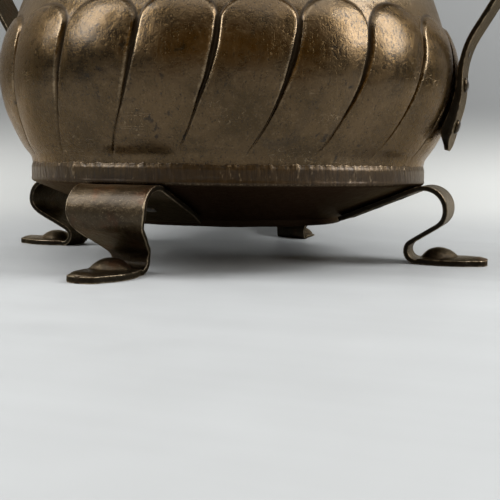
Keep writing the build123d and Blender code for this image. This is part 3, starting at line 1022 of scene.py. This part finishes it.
class CopperColours(bpy.types.PropertyGroup):
    """The colours that a patina is mixed from."""

    patina: tint("Patina", "Deeper colour of the patina", (0.050, 0.030, 0.010))
    worn: tint("Worn patina", "Paler colour where the patina is thin", (0.096, 0.060, 0.026))
    bright: tint("Rubbed metal", "Colour of rubbed edges and scratches", (0.42, 0.32, 0.20))
    grey: tint("Dusty neck", "Colour of the duller neck", (0.13, 0.105, 0.072))
    # dirt, and the painted shade in the pot's grooves
    dirt_and_shade: tint("Dirt", "Colour of grooves and spots", (0.018, 0.014, 0.010))
    # painted shade on the pan's underside
    painted_shade: tint("Painted shade", "Colour of the pan's underside", (0.014, 0.007, 0.003))
    purple: tint("Heat stain", "Colour of the stained band", (0.030, 0.018, 0.010))
    iron: tint("Iron", "Colour of the rim's wire", (0.12, 0.11, 0.10))
    rust: tint("Rust", "Colour of rust on the wire", (0.16, 0.07, 0.03))


class StrapColours(bpy.types.PropertyGroup):
    """The colours of the forged straps."""

    patina: tint("Patina", "Deeper colour of the forged skin", (0.026, 0.018, 0.010))
    worn: tint("Worn patina", "Paler colour of the forged skin", (0.056, 0.040, 0.022))
    red: tint("Red patina", "Colour of the redder patches", (0.075, 0.026, 0.010))
    # painted shade on the straps' sides, undersides and the parts under the pan
    painted_shade: tint("Painted shade", "Colour of the sides", (0.008, 0.007, 0.005))
    # rubbed corners, partly a painted highlight
    bright: tint("Rubbed metal", "Colour of rubbed corners", (0.34, 0.27, 0.18))


class PotSettings(bpy.types.PropertyGroup):
    """Sizes of the raised pot."""

    lobes: IntProperty(
        name="Lobes", description="Number of lobes round the belly", default=20, min=6, max=40
    )
    lip: number("Lip height", "Step at a lobe's edge, mm", 2.3, 0.0, 5.0)
    pillow: number("Pillow height", "Swell of a lobe, mm", 1.9, 0.0, 5.0)
    dents: number("Dents", "Strength of the hand marks", 1.0, 0.0, 3.0)


class PanSettings(bpy.types.PropertyGroup):
    """Sizes of the hammered base pan."""

    strokes: number("Stroke depth", "Depth of the hammer strokes, mm", 0.7, 0.0, 2.0)


class RivetSettings(bpy.types.PropertyGroup):
    """Sizes of the rivets."""

    head: number("Head radius", "Radius of a head, mm", HEAD_RADIUS, 1.0, 8.0)
    peening: number("Peening", "Depth of the hammer facets, mm", 0.3, 0.0, 1.0)


class StageSettings(bpy.types.PropertyGroup):
    """The sweep, the lights and the camera."""

    sweep_colour: tint("Floor", "Colour of the sweep's floor", (0.465, 0.48, 0.485))
    # painted light: the sweep's turn is painted paler
    lit_turn_colour: tint("Turn", "Colour where the sweep turns up", (0.57, 0.585, 0.575))
    # painted shade: the sweep's upright wall is painted darker
    shaded_wall_colour: tint("Wall", "Colour of the sweep's upright part", (0.255, 0.265, 0.27))
    room_colour: tint("Room", "Colour of the room round the sweep", (0.60, 0.60, 0.60))
    room_strength: number("Room strength", "Strength of the room's light", 0.13, 0.0, 10.0)
    left_light: number("Left light", "Power of the left light, W", 8.5, 0.0, 1000.0)
    right_light: number("Right light", "Power of the right light, W", 10.5, 0.0, 1000.0)
    top_light: number("Top light", "Power of the light above, W", 11.0, 0.0, 1000.0)


# ---- stage -------------------------------------------------------------------
VIEW_AZIMUTH = 22.0         # the camera's azimuth from -Y towards +X
CAMERA_DISTANCE = 577.1
CAMERA_HEIGHT = 60.4
CAMERA_YAW = 0.0261
CAMERA_PITCH = 0.0999
CAMERA_ROLL = 0.0127
LENS = 59.95
SWEEP_NEAR = -1500.0        # the sweep's floor begins this far in front of the pot
SWEEP_TURN = 95.0           # and turns up this far behind it
SWEEP_BEND = 115.0
SWEEP_TOP = 900.0
SWEEP_HALF_WIDTH = 1500.0
# width and height of each light, its place and what it faces, as right, away and up
LIGHTS = {
    "left_light": (420, 600, (-800, -250, 700), (0, 0, 120)),
    "right_light": (420, 600, (850, -250, 640), (0, 0, 120)),
    "top_light": (1500, 1100, (0, -350, 1200), (0, -350, 0)),
}
CARD = (2400, 900, (0, -1500, 520), (0, 0, 120))    # the same for the dark card


def view_axes():
    """Unit vectors away from the camera and to its right, both level."""
    a = radians(VIEW_AZIMUTH)
    return Vector((-sin(a), cos(a), 0)), Vector((cos(a), sin(a), 0))


def stage_point(right, away, up):
    """A place in millimetres on the stage, seen from the camera's side."""
    forward, across = view_axes()
    return across * right + forward * away + Vector((0, 0, up))


def sweep_mesh():
    """A sheet that lies flat under the pot and curves up behind it."""
    line = [(SWEEP_NEAR, 0.0)]
    line += [(y, 0.0) for y in np.linspace(SWEEP_NEAR + 100, SWEEP_TURN, 20)]
    line += [
        (SWEEP_TURN + SWEEP_BEND * sin(a), SWEEP_BEND * (1 - cos(a)))
        for a in np.linspace(0.05, pi / 2, 32)
    ]
    line += [(SWEEP_TURN + SWEEP_BEND, z) for z in np.linspace(SWEEP_BEND + 60, SWEEP_TOP, 6)]
    points = []
    for away, up in line:
        points.append(tuple(stage_point(-SWEEP_HALF_WIDTH, away, up)))
        points.append(tuple(stage_point(SWEEP_HALF_WIDTH, away, up)))
    faces = [(2 * i, 2 * i + 1, 2 * i + 3, 2 * i + 2) for i in range(len(line) - 1)]
    mesh = mesh_of("sweep", points, faces)
    mesh.shade_smooth()
    return mesh


def place_camera():
    """A camera a little above the pot's band, turned as the view asks."""
    camera = bpy.data.cameras.new("view")
    camera.lens = LENS
    camera.sensor_width = 36.0
    camera.clip_start = 0.01
    holder = keep("view", camera)
    forward, across = view_axes()
    ahead = forward * cos(CAMERA_YAW) + across * sin(CAMERA_YAW)
    right = across * cos(CAMERA_YAW) - forward * sin(CAMERA_YAW)
    up = Vector((0, 0, 1))
    ahead, up = (
        ahead * cos(CAMERA_PITCH) - up * sin(CAMERA_PITCH),
        up * cos(CAMERA_PITCH) + ahead * sin(CAMERA_PITCH),
    )
    right, up = (
        right * cos(CAMERA_ROLL) + up * sin(CAMERA_ROLL),
        up * cos(CAMERA_ROLL) - right * sin(CAMERA_ROLL),
    )
    turned = Matrix((right, up, -ahead)).transposed().to_4x4()
    turned.translation = stage_point(0, -CAMERA_DISTANCE, CAMERA_HEIGHT) * MM
    holder.matrix_world = turned
    bpy.context.scene.camera = holder


def soft_light(name, power, width, height, where, aim):
    """A rectangular light at a place on the stage, turned to face another."""
    light = bpy.data.lights.new(name, "AREA")
    light.shape = "RECTANGLE"
    light.size = width * MM
    light.size_y = height * MM
    light.energy = power
    holder = keep(name, light)
    start = stage_point(*where) * MM
    holder.location = start
    holder.rotation_euler = (stage_point(*aim) * MM - start).to_track_quat("-Z", "Y").to_euler()
    holder.visible_camera = False


def dark_card(name, width, height, where, aim):
    """A dim amber card that only reflections see, for the dark side of the room."""
    start = stage_point(*where)
    turn = (stage_point(*aim) - start).to_track_quat("Z", "Y").to_matrix()
    corners = [(-1, -1), (1, -1), (1, 1), (-1, 1)]
    points = [turn @ Vector((x * width / 2, y * height / 2, 0)) + start for x, y in corners]
    card = keep(name, mesh_of(name, points, [(0, 1, 2, 3)]))
    material, bench, place = new_finish(name)
    card.data.materials.append(dressed(material, bench, {
        "Base Color": (0.02, 0.016, 0.012, 1),
        "Roughness": 1.0,
        "Specular IOR Level": 0.0,
        "Emission Color": (0.26, 0.14, 0.0, 1),
        "Emission Strength": 1.0,
    }))
    card.visible_camera = False
    card.visible_shadow = False


# ---- operators ---------------------------------------------------------------
class PLANTER_OT_stage(bpy.types.Operator):
    """Lay the sweep and set the lights and the camera"""

    bl_idname = "planter.stage"
    bl_label = "Stage"

    def execute(self, context):
        settings = context.scene.planter_stage
        sweep = keep("sweep", sweep_mesh())
        sweep.data.materials.append(sweep_finish(settings))
        dark_card("dark_card", *CARD)
        for name, layout in LIGHTS.items():
            soft_light(name, getattr(settings, name), *layout)
        world = bpy.data.worlds.new("room")
        world.use_nodes = True
        background = world.node_tree.nodes["Background"]
        background.inputs["Color"].default_value = shade(settings.room_colour)
        background.inputs["Strength"].default_value = settings.room_strength
        context.scene.world = world
        place_camera()
        context.scene.view_settings.view_transform = "Standard"
        context.scene.view_settings.look = "None"
        return {"FINISHED"}


class PLANTER_OT_pot(bpy.types.Operator):
    """Raise the lobed pot and roll its rim"""

    bl_idname = "planter.pot"
    bl_label = "Lobed pot"

    def execute(self, context):
        settings = context.scene.planter_pot
        pot = grown("lobed_pot", pot_outline(), pot_tree(), {
            "Lobes": settings.lobes,
            "Lip height": settings.lip,
            "Pillow height": settings.pillow,
            "Dents": settings.dents,
            "Material": pot_finish(context.scene.planter_colours),
        })
        hand_over(pot, "pot_copper", "pot_belly", "pot_neck")
        return {"FINISHED"}


class PLANTER_OT_pan(bpy.types.Operator):
    """Spin the base pan and hammer its band"""

    bl_idname = "planter.pan"
    bl_label = "Base pan"

    def execute(self, context):
        settings = context.scene.planter_pan
        pan = grown("hammered_pan", pan_outline(), pan_tree(), {
            "Stroke depth": settings.strokes,
            "Material": pan_finish(context.scene.planter_colours),
        })
        hand_over(pan, "pan_copper", "pan_floor", "pan_side")
        return {"FINISHED"}


class PLANTER_OT_rim_wire(bpy.types.Operator):
    """Give the wire inside the rim its finish"""

    bl_idname = "planter.rim_wire"
    bl_label = "Rim wire"

    def execute(self, context):
        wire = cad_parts["rim_wire"]
        wire.data.materials.clear()
        wire.data.materials.append(wire_finish(context.scene.planter_colours))
        return {"FINISHED"}


class PLANTER_OT_straps(bpy.types.Operator):
    """Forge the scrolled feet and the handles"""

    bl_idname = "planter.straps"
    bl_label = "Feet and handles"

    def execute(self, context):
        finish = strap_finish(context.scene.planter_straps)
        for seed, (side, azimuth) in enumerate(FEET.items()):
            name = "scrolled_foot_" + side
            foot = keep(name, foot_mesh(name, azimuth, seed))
            foot.data.materials.append(finish)
            hand_over(foot, "strap_copper", "foot_" + side)
        for seed, (side, azimuth) in enumerate(HANDLES.items()):
            name = "strap_handle_" + side
            handle = keep(name, handle_mesh(name, azimuth, seed + 10))
            handle.data.materials.append(finish)
            hand_over(handle, "strap_copper", "handle_" + side)
        return {"FINISHED"}


class PLANTER_OT_rivets(bpy.types.Operator):
    """Peen the rivets"""

    bl_idname = "planter.rivets"
    bl_label = "Rivets"

    def execute(self, context):
        settings = context.scene.planter_rivets
        finish = rivet_finish(context.scene.planter_straps)
        bench = rivet_tree()
        for node, (lines, azimuths, outer_share) in rivet_lines().items():
            rivets = grown("peened_" + node, rivet_base(node, lines, azimuths, outer_share), bench, {
                "Head radius": settings.head,
                "Peening": settings.peening,
                "Material": finish,
            })
            hand_over(rivets, "rivet_copper", node)
        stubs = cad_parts["stub_rivets"]
        stubs.data.materials.clear()
        stubs.data.materials.append(finish)
        return {"FINISHED"}


class PLANTER_PT_build(bpy.types.Panel):
    """The planter's settings and the steps that build it"""

    bl_idname = "PLANTER_PT_build"
    bl_label = "Lobed Copper Planter"
    bl_space_type = "VIEW_3D"
    bl_region_type = "UI"
    bl_category = "Planter"

    def draw(self, context):
        layout = self.layout
        scene = context.scene
        for title, settings, steps in (
            ("Stage", scene.planter_stage, [PLANTER_OT_stage]),
            ("Pot", scene.planter_pot, [PLANTER_OT_pot, PLANTER_OT_rim_wire]),
            ("Pan", scene.planter_pan, [PLANTER_OT_pan]),
            ("Straps and rivets", scene.planter_rivets, [PLANTER_OT_straps, PLANTER_OT_rivets]),
            ("Sheet colours", scene.planter_colours, []),
            ("Strap colours", scene.planter_straps, []),
        ):
            box = layout.box()
            box.label(text=title)
            for name in settings.bl_rna.properties.keys():
                if name not in ("rna_type", "name"):
                    box.prop(settings, name)
            for step in steps:
                box.operator(step.bl_idname)


SETTINGS = {
    "planter_colours": CopperColours,
    "planter_straps": StrapColours,
    "planter_pot": PotSettings,
    "planter_pan": PanSettings,
    "planter_rivets": RivetSettings,
    "planter_stage": StageSettings,
}
STEPS = [
    PLANTER_OT_stage,
    PLANTER_OT_pot,
    PLANTER_OT_pan,
    PLANTER_OT_rim_wire,
    PLANTER_OT_straps,
    PLANTER_OT_rivets,
]


def register():
    for group in [*SETTINGS.values(), *STEPS, PLANTER_PT_build]:
        bpy.utils.register_class(group)
    for name, group in SETTINGS.items():
        setattr(bpy.types.Scene, name, PointerProperty(type=group))


def unregister():
    for name in SETTINGS:
        delattr(bpy.types.Scene, name)
    for group in reversed([*SETTINGS.values(), *STEPS, PLANTER_PT_build]):
        bpy.utils.unregister_class(group)


def main():
    register()
    for step in STEPS:
        group, name = step.bl_idname.split(".")
        getattr(getattr(bpy.ops, group), name)()


if __name__ == "__main__":
    main()
